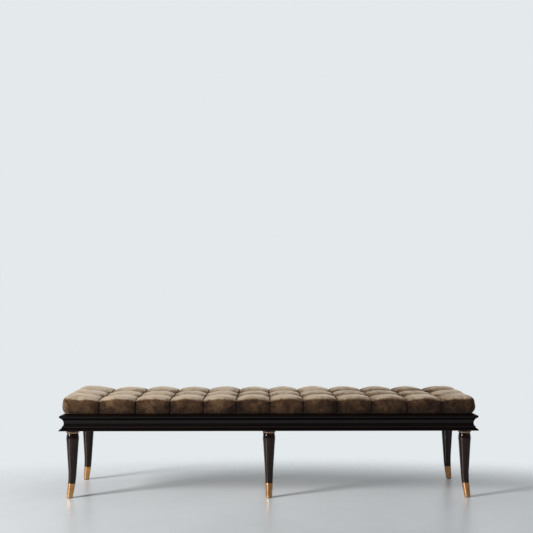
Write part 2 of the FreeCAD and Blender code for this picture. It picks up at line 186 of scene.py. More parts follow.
# %% [markdown]
# ## Colour and node helpers
# Colours are written as sRGB hex, as a colour picker shows them. Blender's shaders work in linear light,
# so one function converts them. Another adds a node, sets it up and wires it in one go.

# %% Colour and node helpers
def linear(hex_colour):
    """Linear RGBA of an sRGB hex: c becomes ((c + 0.055) / 1.055) ** 2.4, or c / 12.92 if dark."""
    c = np.array([int(hex_colour[i:i + 2], 16) for i in (1, 3, 5)]) / 255
    light = np.where(c <= 0.04045, c / 12.92, ((c + 0.055) / 1.055) ** 2.4)
    return (*light.tolist(), 1.0)


def add(tree, kind, inputs=None, **settings):
    """Adds a shader node. Inputs maps a socket's name or number to a value or to another's output."""
    made = adjust(tree.nodes.new("ShaderNode" + kind), **settings)
    for key, value in (inputs or {}).items():
        if isinstance(value, bpy.types.NodeSocket):
            tree.links.new(value, made.inputs[key])
        else:
            made.inputs[key].default_value = value
    return made


def new_material(name):
    """A node material with nothing in it yet, and its tree."""
    made = bpy.data.materials.new(name)
    made.use_nodes = True
    made.node_tree.nodes.clear()
    return made, made.node_tree


def finished(made, inputs, kind="BsdfPrincipled"):
    """The material, with a shader that has these inputs wired to its surface."""
    shader = add(made.node_tree, kind, inputs)
    add(made.node_tree, "OutputMaterial", {"Surface": shader.outputs[0]})
    return made


def stretched(tree, across, along, axis):
    """Object coordinates divided by across, or by along on the named axis, all in metres."""
    place = add(tree, "TexCoord")
    scale = [1 / across] * 3
    scale["XYZ".index(axis)] = 1 / along
    return add(tree, "Mapping", {"Vector": place.outputs["Object"], "Scale": scale}).outputs[0]


def mottle(tree, across, along, axis, detail=3.0, roughness=0.55, distortion=0.0):
    """The grey value of a noise whose pattern is so wide across an axis and so long along it."""
    inputs = {"Vector": stretched(tree, across, along, axis), "Scale": 1.0, "Detail": detail}
    inputs.update({"Roughness": roughness, "Distortion": distortion})
    return add(tree, "TexNoise", inputs).outputs[0]


def ramp(tree, value, *stops):
    """A colour ramp through (position, hex) stops."""
    made = add(tree, "ValToRGB", {0: value})
    band = made.color_ramp
    while len(band.elements) < len(stops):
        band.elements.new(0.5)
    for element, (position, colour) in zip(band.elements, stops):
        element.position = position
        element.color = linear(colour)
    return made.outputs[0]


def bump(tree, height, distance, strength=1.0):
    """A bump from a height value, as deep as a distance in metres."""
    inputs = {"Height": height, "Distance": distance, "Strength": strength}
    return add(tree, "Bump", inputs).outputs[0]


def spread(tree, value, low, high, to_low, to_high):
    """Maps a value from one range to another, held at its ends."""
    inputs = {0: value, 1: low, 2: high, 3: to_low, 4: to_high}
    return add(tree, "MapRange", inputs, clamp=True).outputs[0]


# %% [markdown]
# ## Lacquered wood
# The frame is hardwood, stained nearly black and sprayed with clear gloss lacquer. So there are two
# layers: dark wood with a little grain and fine open pores, and over it a smooth coat that gives the
# sharp highlights. On the legs the stain is thinner, and a warm brown shows through. The pattern is
# stretched along the grain.

# %% Lacquered wood
GRAIN_WIDTH = 3.0 * MM
GRAIN_LENGTH = 160.0 * MM
PORE_WIDTH = 0.9 * MM
PORE_LENGTH = 14.0 * MM
WAVE_WIDTH = 22.0 * MM        # how the coat flowed
WAVE_LENGTH = 60.0 * MM
EBONY_GLOSS = {"shine": 0.06, "coat_roughness": 0.06, "coat_ior": 1.32}
STAIN_GLOSS = {"shine": 0.05, "coat_roughness": 0.04, "coat_ior": 1.38}


def lacquered_wood(name, dark, light, axis, shine, coat_roughness, coat_ior):
    """Stained hardwood under clear gloss lacquer, its grain along one axis. Shine is the bare wood's."""
    made, tree = new_material(name)
    grain = mottle(tree, GRAIN_WIDTH, GRAIN_LENGTH, axis, 4.0, 0.6, 0.6)
    pores = mottle(tree, PORE_WIDTH, PORE_LENGTH, axis, 2.0, 0.5)
    waves = mottle(tree, WAVE_WIDTH, WAVE_LENGTH, axis, 1.0)
    return finished(made, {
        "Base Color": ramp(tree, grain, (0.34, dark), (0.7, light)),
        "Roughness": spread(tree, pores, 0.3, 0.7, 0.32, 0.46),
        "IOR": 1.5,
        "Specular IOR Level": shine,
        "Coat Weight": 0.9,
        "Coat Roughness": coat_roughness,
        "Coat IOR": coat_ior,
        "Normal": bump(tree, pores, 0.05 * MM, 0.4),
        "Coat Normal": bump(tree, waves, 0.08 * MM, 0.5),
    })


ebony_along = lacquered_wood("ebonised_beech_lacquer_long", "#050303", "#120906", "X", **EBONY_GLOSS)
ebony_across = lacquered_wood("ebonised_beech_lacquer_end", "#050303", "#120906", "Y", **EBONY_GLOSS)
stained_upright = lacquered_wood("stained_beech_lacquer_leg", "#050201", "#2b160a", "Z", **STAIN_GLOSS)

# %% [markdown]
# ## Metals and nylon
# The ferrules are spun brass with a polished copper plating: fine turning lines run round them and the
# highlight is a warm vertical streak. The rings are paler and softer. Bolts, nuts, screws and staples
# are zinc-plated steel, grey with a faint spangle. A metal's base colour is that of its reflection.

# %% Metals and nylon
TURNING_LINE = 0.35 * MM


def turned_metal(name, dark, light, roughness):
    """Plated and polished metal with turning lines round the piece, so the lines repeat along Z."""
    made, tree = new_material(name)
    lines = mottle(tree, 60 * MM, TURNING_LINE, "Z", 2.0)
    tone = mottle(tree, 18 * MM, 24 * MM, "Z", 2.0)
    return finished(made, {
        "Base Color": ramp(tree, tone, (0.3, dark), (0.7, light)),
        "Metallic": 1.0,
        "Roughness": spread(tree, lines, 0.3, 0.7, roughness * 0.85, roughness * 1.2),
        "Normal": bump(tree, lines, 0.02 * MM, 0.5),
    })


def zinc_plated():
    """Bright zinc on steel: a pale grey metal with soft cloudy patches a few millimetres across."""
    made, tree = new_material("zinc_plated_steel")
    clouds = mottle(tree, 4 * MM, 4 * MM, "Z", 3.0)
    return finished(made, {
        "Base Color": ramp(tree, clouds, (0.3, "#a9abad"), (0.7, "#cdd0d2")),
        "Metallic": 1.0,
        "Roughness": spread(tree, clouds, 0.3, 0.7, 0.28, 0.42),
    })


def moulded_nylon():
    """Black nylon from a mould: a fine even texture and a soft satin reflection."""
    made, tree = new_material("moulded_nylon")
    grain = mottle(tree, 0.6 * MM, 0.6 * MM, "Z", 2.0)
    return finished(made, {
        "Base Color": ramp(tree, grain, (0.3, "#121212"), (0.7, "#1e1e1d")),
        "Roughness": 0.5,
        "IOR": 1.53,
        "Normal": bump(tree, grain, 0.03 * MM, 0.5),
    })


copper_ferrule = turned_metal("copper_plated_brass_polished", "#c08a56", "#dcaa78", 0.3)
champagne_ring = turned_metal("champagne_plated_brass_satin", "#b3957a", "#c9ad92", 0.42)
zinc = zinc_plated()
nylon = moulded_nylon()

# %% [markdown]
# ## Raw timber, plywood and cloth
# What lies under the seat is left as it comes from the saw: pale beech for battens, blocks and bearer,
# birch plywood for the seat board. The dust cover is black spun-bonded cloth: bonded fibres with a faint
# embossed grid of dots.

# %% Raw timber, plywood and cloth
def sawn_timber(name, dark, light, axis):
    """Unfinished beech with growth bands a few millimetres wide along one axis, and short dark flecks."""
    made, tree = new_material(name)
    bands = mottle(tree, 9 * MM, 240 * MM, axis, 3.0, 0.5, 1.2)
    flecks = mottle(tree, 0.8 * MM, 5 * MM, axis, 2.0)
    toned = ramp(tree, bands, (0.3, dark), (0.7, light))
    fleck_tint = ramp(tree, flecks, (0.32, "#9c8468"), (0.45, "#ffffff"))
    inputs = {0: 0.5, 6: toned, 7: fleck_tint}
    mixed = add(tree, "Mix", inputs, data_type="RGBA", blend_type="MULTIPLY")
    return finished(made, {
        "Base Color": mixed.outputs[2],
        "Roughness": 0.72,
        "IOR": 1.5,
        "Normal": bump(tree, flecks, 0.12 * MM, 0.6),
    })


def spun_cloth(name, dark, light, fibre):
    """Bonded fibres: fine random strands, with embossed dots 1.6 mm apart that press the cloth thin."""
    made, tree = new_material(name)
    strands = mottle(tree, fibre, fibre, "Z", 4.0, 0.7)
    cells = {"Vector": stretched(tree, 1.6 * MM, 1.6 * MM, "Z"), "Scale": 1.0, "Randomness": 0.1}
    dots = add(tree, "TexVoronoi", cells).outputs["Distance"]
    return finished(made, {
        "Base Color": ramp(tree, strands, (0.3, dark), (0.7, light)),
        "Roughness": 0.9,
        "Normal": bump(tree, dots, 0.15 * MM, 0.5),
    })


beech_across = sawn_timber("sawn_beech_across", "#b08a5e", "#d3b489", "Y")
beech_upright = sawn_timber("sawn_beech_upright", "#a98258", "#cdae84", "Z")
birch_ply = sawn_timber("birch_plywood", "#c2a273", "#dcc49c", "X")
dust_cloth = spun_cloth("spun_bonded_cloth_black", "#0b0b0c", "#1b1b1c", 0.5 * MM)

# %% [markdown]
# ## Velvet
# Velvet is a cut pile of short upright fibres. Seen end-on it is dark, because light is lost between the
# fibres, and from the side it glows, which is what the shader's sheen layer is for. This velvet is
# crushed: the pile leans different ways in patches a few centimetres across, with smaller marks where it
# was rubbed. The cushion's shine value, made with its shape further down, is added to these: it is
# painted light and shade, a painted highlight on the tops and painted shade on the sides. The patterns
# are on Object coordinates, so they don't stretch with the cushion.

# %% Velvet
PATCH = 42.0 * MM
RUB = 8.0 * MM
PILE = 1.8 * MM        # real pile is a tenth of this and would not show
TONE_START = -0.275    # puts the sides, where shade is painted, near the dark end of the tones
# The shine value's painted shade lies at the dark end of these tones and its painted highlight at the light
# end.
VELVET_TONES = ((0.06, "#170c06"), (0.28, "#3a2719"), (0.54, "#624b35"), (0.86, "#a5947f"))


def crushed_velvet():
    """Shine's painted light and shade, patches, rubs and pile added into a ramp, with sheen and a pile
    bump.
    """
    made, tree = new_material("crushed_velvet_brown")
    shine = add(tree, "Attribute", attribute_name="shine").outputs["Fac"]
    patches = mottle(tree, PATCH, PATCH, "Z", 2.0, 0.6, 0.8)
    rubs = mottle(tree, RUB, RUB, "Z", 3.0, 0.6, 0.4)
    pile = mottle(tree, PILE, PILE, "Z", 2.0, 0.6)
    tone_with_painted_light = TONE_START
    # shine adds painted light and shade; patches, rubs and pile are the velvet's own tone
    for part, weight in ((shine, 0.57), (patches, 0.68), (rubs, 0.36), (pile, 0.1)):
        inputs = {0: part, 1: weight, 2: tone_with_painted_light}
        tone_with_painted_light = add(tree, "Math", inputs, operation="MULTIPLY_ADD").outputs[0]
    return finished(made, {
        "Base Color": ramp(tree, tone_with_painted_light, *VELVET_TONES),
        "Roughness": 0.95,
        "IOR": 1.45,
        "Specular IOR Level": 0.15,
        "Sheen Weight": 0.5,
        "Sheen Roughness": 0.4,
        "Sheen Tint": linear("#e9d9c6"),
        "Normal": bump(tree, pile, 0.5 * MM, 0.5),
    })


velvet = crushed_velvet()

# %% [markdown]
# ## The legs' centre line
# Each leg is turned straight and kicks out near its foot: below 115 mm its centre line bends outward, and
# below 45 mm it runs on straight. The corner legs kick along the diagonal and the middle ones straight
# out. Every piece of a leg is a profile carried up this one line, so they stay true to each other. The
# legs' places come from the CAD model's boxes.

# %% The legs' centre line
KICK_START = 115.0 * MM
KICK_STRAIGHT = 45.0 * MM
KICK_OUT = 14.0 * MM
ROUND = 96


def kick_at(height):
    """How far out the centre is: slope times (start - z) squared over twice the bend, then straight."""
    bend = KICK_START - KICK_STRAIGHT
    slope = KICK_OUT / (bend / 2 + KICK_STRAIGHT)
    curve = slope * np.clip(KICK_START - height, 0, None) ** 2 / (2 * bend)
    return np.where(height > KICK_STRAIGHT, curve, slope * (bend / 2 + KICK_STRAIGHT - height))


def leg_places():
    """Each leg's name, its centre in plan and its way out, from the boss that the CAD model has there."""
    for row, side_y in (("front", -1), ("back", 1)):
        for column, side_x in (("left", -1), ("middle", 0), ("right", 1)):
            name = row + "_" + column
            low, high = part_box("leg_boss_" + name)
            way = np.array([side_x, side_y, 0.0]) / math.hypot(side_x, side_y)
            yield name, np.array([(low.x + high.x) / 2, (low.y + high.y) / 2, 0.0]), way


def turn(name, profile, centre, way):
    """A turned piece: each (radius, height) of the profile is a level ring round the kicked centre line."""
    radius, height = np.asarray(profile).T
    angle = np.linspace(0, 2 * np.pi, ROUND, endpoint=False)
    ring = stacked(np.cos(angle), np.sin(angle), 0.0)
    middle = centre + kick_at(height)[:, None] * way + height[:, None] * np.array([0, 0, 1.0])
    points = middle[:, None, :] + radius[:, None, None] * ring[None, :, :]
    ends = [range(ROUND), range((len(radius) - 1) * ROUND, len(radius) * ROUND)]
    return make_piece(name, points, quads(len(radius), ROUND, closed=True), ends)


def turned_parts(*parts):
    """Turns parts for all legs, each from a name, a profile, a material and a slot."""
    for name, centre, way in places:
        for part, profile, finish, slot in parts:
            fit_out(turn(part + "_" + name, profile, centre, way), finish, slot, "leg_" + part + "_" + name)


def bulged(start, end, bulge, steps):
    """A shallow arc from start to end: the straight line plus the bulge times 4t(1 - t), square to it."""
    start, end = np.array(start), np.array(end)
    t = np.linspace(0, 1, steps)[:, None]
    along = (end - start) / np.linalg.norm(end - start)
    out = np.array([along[1], -along[0]])
    return start + (end - start) * t + out * (bulge * 4 * t * (1 - t))


def taper(start, end, steps, power=1.0):
    """Points from start to end: the radius changes with the height's share of the way, to a power."""
    share = np.linspace(0, 1, steps)[:, None]
    return np.array(start) + (np.array(end) - start) * share ** (power, 1.0)


def rounded(corner, radius, start_angle, end_angle, steps=6):
    """An arc for an edge: its centre as (radius, height), its radius, and its angles in degrees."""
    a = np.radians(np.linspace(start_angle, end_angle, steps))
    return np.array(corner) + radius * stacked(np.cos(a), np.sin(a))


places = list(leg_places())
print("legs at", [tuple(np.round(centre[:2], 3)) for name, centre, way in places])

# %% [markdown]
# ## Boss, ring and shaft
# Under the rail sits a saucer-shaped boss, then a metal ring, then the shaft with its crowned shoulder,
# which catches the window as a small bright patch. Edges are rounded as a turner leaves them, because a
# dead sharp edge never catches light.

# %% Boss, ring and shaft
LEG_TOP = 292.5 * MM
BOSS_FOOT = 286.5 * MM
SHAFT_TOP = 278.5 * MM
FERRULE_TOP = 63.0 * MM
EDGE = 0.7 * MM
BOSS_NECK = 29.0 * MM
BOSS_RIM = 37.0 * MM
RING_RADIUS = 26.4 * MM
RING_SWELL = 1.6 * MM
GROOVE = 0.45 * MM
SHAFT_FOOT = 15.8 * MM        # radius at the ferrule
SHAFT_KICK = 17.8 * MM        # radius where the kick starts
SHAFT_WIDE = 26.0 * MM        # radius at the foot of the crown
CROWN_FOOT = 240.0 * MM
CROWN_TOP = (23.83 * MM, 276.15 * MM)
CROWN_BULGE = 2.2 * MM
CROWN_EDGE = 3.4 * MM         # radius of its rounded top


def boss_profile():
    """From the neck up a swelling saucer to an upright lip, with the lip's two edges eased."""
    bowl = bulged((BOSS_NECK, BOSS_FOOT), (BOSS_RIM - 0.4 * MM, LEG_TOP - 1.9 * MM), 0.9 * MM, 12)
    lip = rounded((BOSS_RIM - EDGE, LEG_TOP - 2 * EDGE), EDGE, -50, 0)
    top = rounded((BOSS_RIM - EDGE, LEG_TOP - EDGE), EDGE, 0, 90)
    return np.concatenate([bowl, lip, top])


def ring_profile():
    """A half-round band, radius plus swell times the root of 4t(1 - t), with a fine groove round it."""
    height = np.linspace(SHAFT_TOP, BOSS_FOOT, 33)
    share = (height - SHAFT_TOP) / (BOSS_FOOT - SHAFT_TOP)
    edge = RING_RADIUS + RING_SWELL * np.sqrt(np.clip(4 * share * (1 - share), 0, 1))
    return stacked(edge - bell(share - 0.5, GROOVE, 0.05), height)


def shaft_profile():
    """Straight taper from the ferrule to the shoulder, an arc over the shoulder, and a rounded top edge."""
    lower = taper((SHAFT_FOOT, FERRULE_TOP), (SHAFT_KICK, KICK_START), 16)
    upper = taper((SHAFT_KICK, KICK_START), (SHAFT_WIDE, CROWN_FOOT), 20, 0.97)[1:]
    crown = bulged((SHAFT_WIDE, CROWN_FOOT), CROWN_TOP, CROWN_BULGE, 18)[1:]
    edge = rounded((20.6 * MM, SHAFT_TOP - CROWN_EDGE), CROWN_EDGE, 18, 90, 9)[1:]
    return np.concatenate([lower, upper, crown, edge])


turned_parts(
    ("boss", boss_profile(), stained_upright, "lacquered_boss"),
    ("ring", ring_profile(), champagne_ring, "champagne_ring"),
    ("shaft", shaft_profile(), stained_upright, "lacquered_leg"),
)

# %% [markdown]
# ## Ferrule and glide
# The ferrule is a thin metal cup, hardly proud of the wood, with a rolled rim that makes a fine bright
# line. It tapers to a rounded bottom edge. A black nylon glide under it shows as a thin dark line.

# %% Ferrule and glide
GLIDE_TOP = 2.5 * MM
FOOT_EDGE = 1.0 * MM


def ferrule_profile():
    """Rounded bottom edge, straight taper outward, and a half-round rolled rim at the top."""
    bottom = rounded((11.9 * MM, GLIDE_TOP + FOOT_EDGE), FOOT_EDGE, -90, -8)
    side = taper((12.95 * MM, GLIDE_TOP + FOOT_EDGE), (15.95 * MM, FERRULE_TOP - 2.2 * MM), 18)
    roll = rounded((15.75 * MM, FERRULE_TOP - 1.1 * MM), 1.0 * MM, -70, 90, 9)
    return np.concatenate([bottom, side, roll])


def glide_profile():
    """A flat button with both edges rounded, standing on the floor."""
    bottom = rounded((9.5 * MM, 0.8 * MM), 0.8 * MM, -90, 0)
    top = rounded((9.9 * MM, GLIDE_TOP - 0.4 * MM), 0.4 * MM, 0, 90)
    return np.concatenate([bottom, top])


turned_parts(
    ("ferrule", ferrule_profile(), copper_ferrule, "copper_ferrule"),
    ("glide", glide_profile(), nylon, "glide_plastic"),
)
print("turned", 5 * len(places), "pieces")

# %% [markdown]
# ## Moulded rails
# A rail is one moulding, planed to a profile and mitred at the corners. From the lower lip up: a small
# upright edge, a swelling slope, a fillet with a narrow ledge, a deep cove, and the nose under a long
# bevel. At a mitre the cut lies at 45 degrees, so a point that is set in by d ends d short of the tip.
# Each arris is then eased, because lacquer never leaves an edge sharp.

# %% Moulded rails
RAIL_HEIGHT = 72.0 * MM
RAIL_FOOT = LEG_TOP
ARRIS = 0.7 * MM


def arc_through(start, middle, end, steps=12):
    """Points on the circle through three points, from the first to the last."""
    a, b, c = (complex(*p) for p in (start, middle, end))
    w = (c - a) / (b - a)
    centre = (b - a) * (w - abs(w) ** 2) / (2j * w.imag) + a
    first, last = np.angle(a - centre), np.angle(c - centre)
    swing = (last - first + np.pi) % (2 * np.pi) - np.pi
    points = centre + abs(a - centre) * np.exp(1j * (first + swing * np.linspace(0, 1, steps)))
    return stacked(points.real, points.imag)


def rail_profile():
    """The moulding's outline as (inward, up) points, from the foot's inner corner round to the top."""
    lip = arc_through((0, 3.0), (4.9, 8.0), (11.6, 13.0))
    cove = arc_through((15.6, 20.0), (18.0, 33.2), (7.0, 53.0))
    nose = arc_through((2.6, 56.0), (1.3, 60.25), (2.6, 64.5), 8)
    start, end = [(34.0, 0.0), (0.0, 0.0)], [(21.0, 72.0), (34.0, 72.0)]
    return np.concatenate([start, lip, [(11.6, 19.0)], cove, nose, end]) * MM


def rail(name, half_long, half_across, quarter):
    """The profile swept along X with mitred ends, then turned by quarter turns about Z."""
    inward, up = rail_profile().T
    reach = half_long - inward
    side = inward - half_across
    ends = [stacked(way * reach, side, up + RAIL_FOOT) for way in (-1, 1)]
    points = np.concatenate(ends)
    for _ in range(quarter):
        points = stacked(-points[:, 1], points[:, 0], points[:, 2])
    count = len(inward)
    ends = [range(count), range(count, 2 * count)]
    piece = make_piece(name, points, quads(2, count, closed=True), ends, 30)
    return bevelled(piece, ARRIS, segments=3, angle_limit=math.radians(25), harden_normals=True)


half_length, half_width = cad_high.x, cad_high.y
for quarter, name in enumerate(("front", "right", "back", "left")):
    sizes = (half_length, half_width) if quarter % 2 == 0 else (half_width, half_length)
    finish = ebony_along if quarter % 2 == 0 else ebony_across
    fit_out(rail("moulding_" + name, *sizes, quarter), finish, "lacquered_rail", name + "_rail")

# %% [markdown]
# ## The cushion's sheet
# The velvet is one sheet over a padded block. Laid out flat, (a, b) says how far a point is from the
# middle along the cloth. Where the cushion is flat, a and b are x and y. Past that the cloth goes over a
# rounded shoulder and down the side, along one profile, which fans round in the corners without poles.
# Seams divide it into twelve by three square biscuits, and a tuft ties down each crossing. The tufts of
# this bench were set by eye, so their places are given one by one.

# %% The cushion's sheet
BISCUITS_LONG, BISCUITS_WIDE = 12, 3
BASE = RAIL_FOOT + RAIL_HEIGHT
CREST = 73.0 * MM
SHOULDER_RUN = 36.0 * MM
SHOULDER_DROP = 30.0 * MM
BELLY = 5.5 * MM
TUCK = 8.0 * MM
END_SPARE = 5.0 * MM
PITCH_LONG = 147.72 * MM
PITCH_WIDE = 147.53 * MM
FRONT_SHIFTS = np.array([8, 18, 18, 13, 8, 5, 0, -1, 0, 5, 7]) * MM
BACK_SHIFTS = np.array([17, 21, 23, 20, 16, 2, -10, -8, -6, -7, -6]) * MM
cover_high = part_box("velvet_cover")[1]


def side_profile(count):
    """Out and down of the cloth from the edge of the flat to the base, at even lengths along it.

    The shoulder is a quarter of an ellipse of power 2.3. The side bows out and tucks in at the base.
    """
    turn_down = np.radians(np.linspace(0, 90, 80))
    out = SHOULDER_RUN * np.sin(turn_down) ** (2 / 2.3)
    down = SHOULDER_DROP * (1 - np.cos(turn_down) ** (2 / 2.3))
    fall = np.linspace(0, 1, 80)[1:]
    bow = BELLY * np.sin(np.pi * np.minimum(fall * 1.1, 1)) * 0.5
    out = np.append(out, SHOULDER_RUN + bow - TUCK * fall ** 4)
    down = np.append(down, SHOULDER_DROP + (CREST - SHOULDER_DROP) * fall)
    length = np.append(0, np.cumsum(np.hypot(np.diff(out), np.diff(down))))
    even = np.linspace(0, length[-1], count)
    return np.interp(even, length, out), np.interp(even, length, down), length[-1]


side_out, side_down, side_length = side_profile(200)
flat_x = cover_high.x - SHOULDER_RUN + END_SPARE
flat_y = cover_high.y - SHOULDER_RUN
print("cloth down each side", round(side_length / MM, 1), "mm")

# %% [markdown]
# ## Grid lines on the sheet
# The grid's lines follow the seams, so that a seam is always a row of points and stays crisp. Within a
# biscuit the lines crowd towards both seams, where the cloth bends most.

# %% Grid lines on the sheet
BISCUIT_STEPS = 26
SIDE_STEPS = 20


def crowded(start, end, steps, both=True):
    """Values from start to end, t less 0.07 sin(2 pi t), closer near both ends, or evenly spaced."""
    t = np.linspace(0, 1, steps + 1)[:-1]
    return start + (end - start) * (t - 0.07 * np.sin(2 * np.pi * t) if both else t)


def sheet_lines(seams, flat):
    """All grid lines along one direction: a side, the biscuits between the seams, and the other side."""
    stops = [-flat] + list(seams) + [flat]
    lines = [crowded(-flat - side_length, -flat, SIDE_STEPS, False)]
    for number, (start, end) in enumerate(zip(stops, stops[1:])):
        inner = 0 < number < len(seams)
        steps = BISCUIT_STEPS if inner else max(8, int(BISCUIT_STEPS * (end - start) / PITCH_WIDE))
        lines.append(crowded(start, end, steps))
    lines.append(crowded(flat, flat + side_length, SIDE_STEPS, False))
    return np.append(np.concatenate(lines), flat + side_length)


seams_x = PITCH_LONG * (np.arange(1, BISCUITS_LONG) - BISCUITS_LONG / 2)
seams_y = PITCH_WIDE * (np.arange(1, BISCUITS_WIDE) - BISCUITS_WIDE / 2)
line_a = sheet_lines(seams_x, flat_x)
line_b = sheet_lines(seams_y, flat_y)
print("sheet grid", len(line_b), "by", len(line_a))


# %% [markdown]
# ## From sheet to space
# Now each (a, b) gets its place. The seams are first moved to where the photograph shows them: the shift
# of the nearest tufts is blended along the bench and from front to back. Then the point goes on the flat,
# on a side or in a corner.

# %% From sheet to space
def shift_at(a, b):
    """How far a point moves along X with its seams, blended between seams and from front to back."""
    stops = np.concatenate([[-flat_x - side_length], seams_x, [flat_x + side_length]])
    front = np.interp(a, stops, np.concatenate([[0], FRONT_SHIFTS, [0]]))
    back = np.interp(a, stops, np.concatenate([[0], BACK_SHIFTS, [0]]))
    share = np.clip((b + flat_y) / (2 * flat_y), 0, 1)
    return front + (back - front) * share


def to_space(a, b):
    """The plain padded block: flat inside, the side profile beyond, and fanned round in a corner.

    In a corner p and q are the shares of the side used along each way. The larger one is the place on the
    profile, and the smaller one over it, times 45 degrees, turns the fan.
    """
    p = np.clip((np.abs(a) - flat_x) / side_length, 0, 1)
    q = np.clip((np.abs(b) - flat_y) / side_length, 0, 1)
    reach = np.maximum(p, q)
    share = np.minimum(p, q) / np.maximum(reach, 1e-9)
    fan = np.where(p >= q, share * np.pi / 4, np.pi / 2 - share * np.pi / 4)
    even = np.linspace(0, 1, len(side_out))
    out, down = np.interp(reach, even, side_out), np.interp(reach, even, side_down)
    x = np.sign(a) * (np.minimum(np.abs(a), flat_x) + out * np.cos(fan))
    y = np.sign(b) * (np.minimum(np.abs(b), flat_y) + out * np.sin(fan))
    return stacked(x, y, BASE + CREST - down), reach


# %% [markdown]
# ## Seams and tufts
# A seam pulls the cloth down into a valley, 14 to 20 mm deep between tufts and 30 mm at a tuft, which
# fades to a sewn line down the side. Its walls are steep at the seam and flat at the biscuit's middle.
# The lengthwise seams fade on the end biscuits, where the cloth is pulled over the edge.

# %% Seams and tufts
TUFT_DEPTH = 30.0 * MM
SEAM_DEPTH = 14.0 * MM
ROW_DEPTH = 20.0 * MM
TUFT_REACH = 26.0 * MM
VALLEY_POWER = 1.8
END_FADE = 0.85        # how far the lengthwise seams fade on the end biscuits
SIDE_FADE = ((0.0, 0.3, 0.6, 1.0), (1.0, 0.95, 0.55, 0.2))


def nearest(value, lines):
    """Signed distance to the nearest of some lines, and that line's number."""
    away = value[..., None] - lines
    number = np.abs(away).argmin(axis=-1)
    return np.take_along_axis(away, number[..., None], axis=-1)[..., 0], number


def valley(value, seams, pitch):
    """1 on a seam, 0 at a biscuit's middle: one less twice the distance over the pitch, to a power."""
    return np.clip(1 - 2 * np.abs(nearest(value, seams)[0]) / pitch, 0, 1) ** VALLEY_POWER


def end_share(a):
    """0 between the outermost cross seams, rising to 1 where the flat ends."""
    return np.clip((np.abs(a) - seams_x[-1]) / (flat_x - seams_x[-1]), 0, 1)


def seam_depth(a, b, reach):
    """Depth of the cloth below the plain block: the deeper of the two valleys, blended where they meet.

    Along a seam the depth rises to the tuft's as a bell.
    """
    fade = np.interp(reach, *SIDE_FADE)
    along_b = fade * (SEAM_DEPTH + bell(nearest(b, seams_y)[0], TUFT_DEPTH - SEAM_DEPTH, TUFT_REACH))
    along_a = fade * (ROW_DEPTH + bell(nearest(a, seams_x)[0], TUFT_DEPTH - ROW_DEPTH, TUFT_REACH))
    one = valley(a, seams_x, PITCH_LONG) * along_b
    two = valley(b, seams_y, PITCH_WIDE) * along_a * (1 - END_FADE * end_share(a))
    return (one ** 4 + two ** 4) ** 0.25


# %% [markdown]
# ## Lumps that no two biscuits share
# Wadding never lies quite even. A smooth random field, the same at every run because its seed is fixed,
# makes one biscuit a little fuller than the next.

# %% Lumps that no two biscuits share
LUMPS = ((1.6 * MM, 95 * MM, 3), (0.9 * MM, 38 * MM, 4))      # height, size and seed
LEFT_FULLER = (5.0 * MM, 40.0 * MM)      # the left end is the fuller one: by how much, and how widely


def smooth_random(a, b, size, seed):
    """Random values from -1 to 1 on a lattice of a given size, blended in between by 3t^2 - 2t^3."""
    table = np.random.default_rng(seed).uniform(-1, 1, (512, 512))
    u, v = a / size + 200.0, b / size + 200.0
    i, j = np.floor(u).astype(int), np.floor(v).astype(int)
    s, t = u - i, v - j
    s, t = s * s * (3 - 2 * s), t * t * (3 - 2 * t)
    low = table[i, j] * (1 - s) + table[i + 1, j] * s
    high = table[i, j + 1] * (1 - s) + table[i + 1, j + 1] * s
    return low * (1 - t) + high * t


def surface_normals(points):
    """Unit normals of a grid of points: the cross product of its two directions, pointing up and out."""
    normal = np.cross(np.gradient(points, axis=1), np.gradient(points, axis=0))
    return normal / np.maximum(np.linalg.norm(normal, axis=-1, keepdims=True), 1e-12)


grid_a, grid_b = np.meshgrid(line_a, line_b)
block, side_reach = to_space(grid_a, grid_b)
lumps = sum(height * smooth_random(grid_a, grid_b, size, seed) for height, size, seed in LUMPS)
lumps += bell(grid_a + flat_x + 25 * MM, *LEFT_FULLER)
lumps = lumps * (1 - side_reach ** 6)
depth = seam_depth(grid_a, grid_b, side_reach)
cloth = block + surface_normals(block) * (lumps - depth)[..., None]
cloth[..., 0] += shift_at(grid_a, grid_b)
cloth[..., 2] = np.maximum(cloth[..., 2], BASE)
sewn_up = surface_normals(cloth)[..., 2]
print("cushion before it is blown up", np.round([cloth[..., 2].min(), cloth[..., 2].max()], 4))

# %% [markdown]
# ## Let the cloth find its shape
# A formula gives every biscuit the same smooth crown. Real cloth is tight between its tufts and swells in
# between, with small puckers at the seams. So the sheet becomes a cloth, sewn along its seams and at the
# base, cut a little too large, and blown up from below for twenty frames. No point may end further from
# its start than the cap.

# %% Let the cloth find its shape
FRAMES = 20
CAP = 7.0 * MM
VELVET_CLOTH = {
    "quality": 6,
    "mass": 0.2,
    "tension_stiffness": 12,
    "compression_stiffness": 8,
    "shear_stiffness": 5,
    "bending_stiffness": 0.25,
    "shrink_min": -0.004,
    "vertex_group_mass": "sewn",
    "use_pressure": True,
    "uniform_pressure_force": 4.0,
}


def sewn_points(a, b, reach):
    """True where the cloth is held: at seams, tufts and base."""
    near_x = np.abs(nearest(a, seams_x)[0]) < 0.5 * MM
    near_y = np.abs(nearest(b, seams_y)[0]) < 0.5 * MM
    return near_x | near_y | (reach > 0.97)


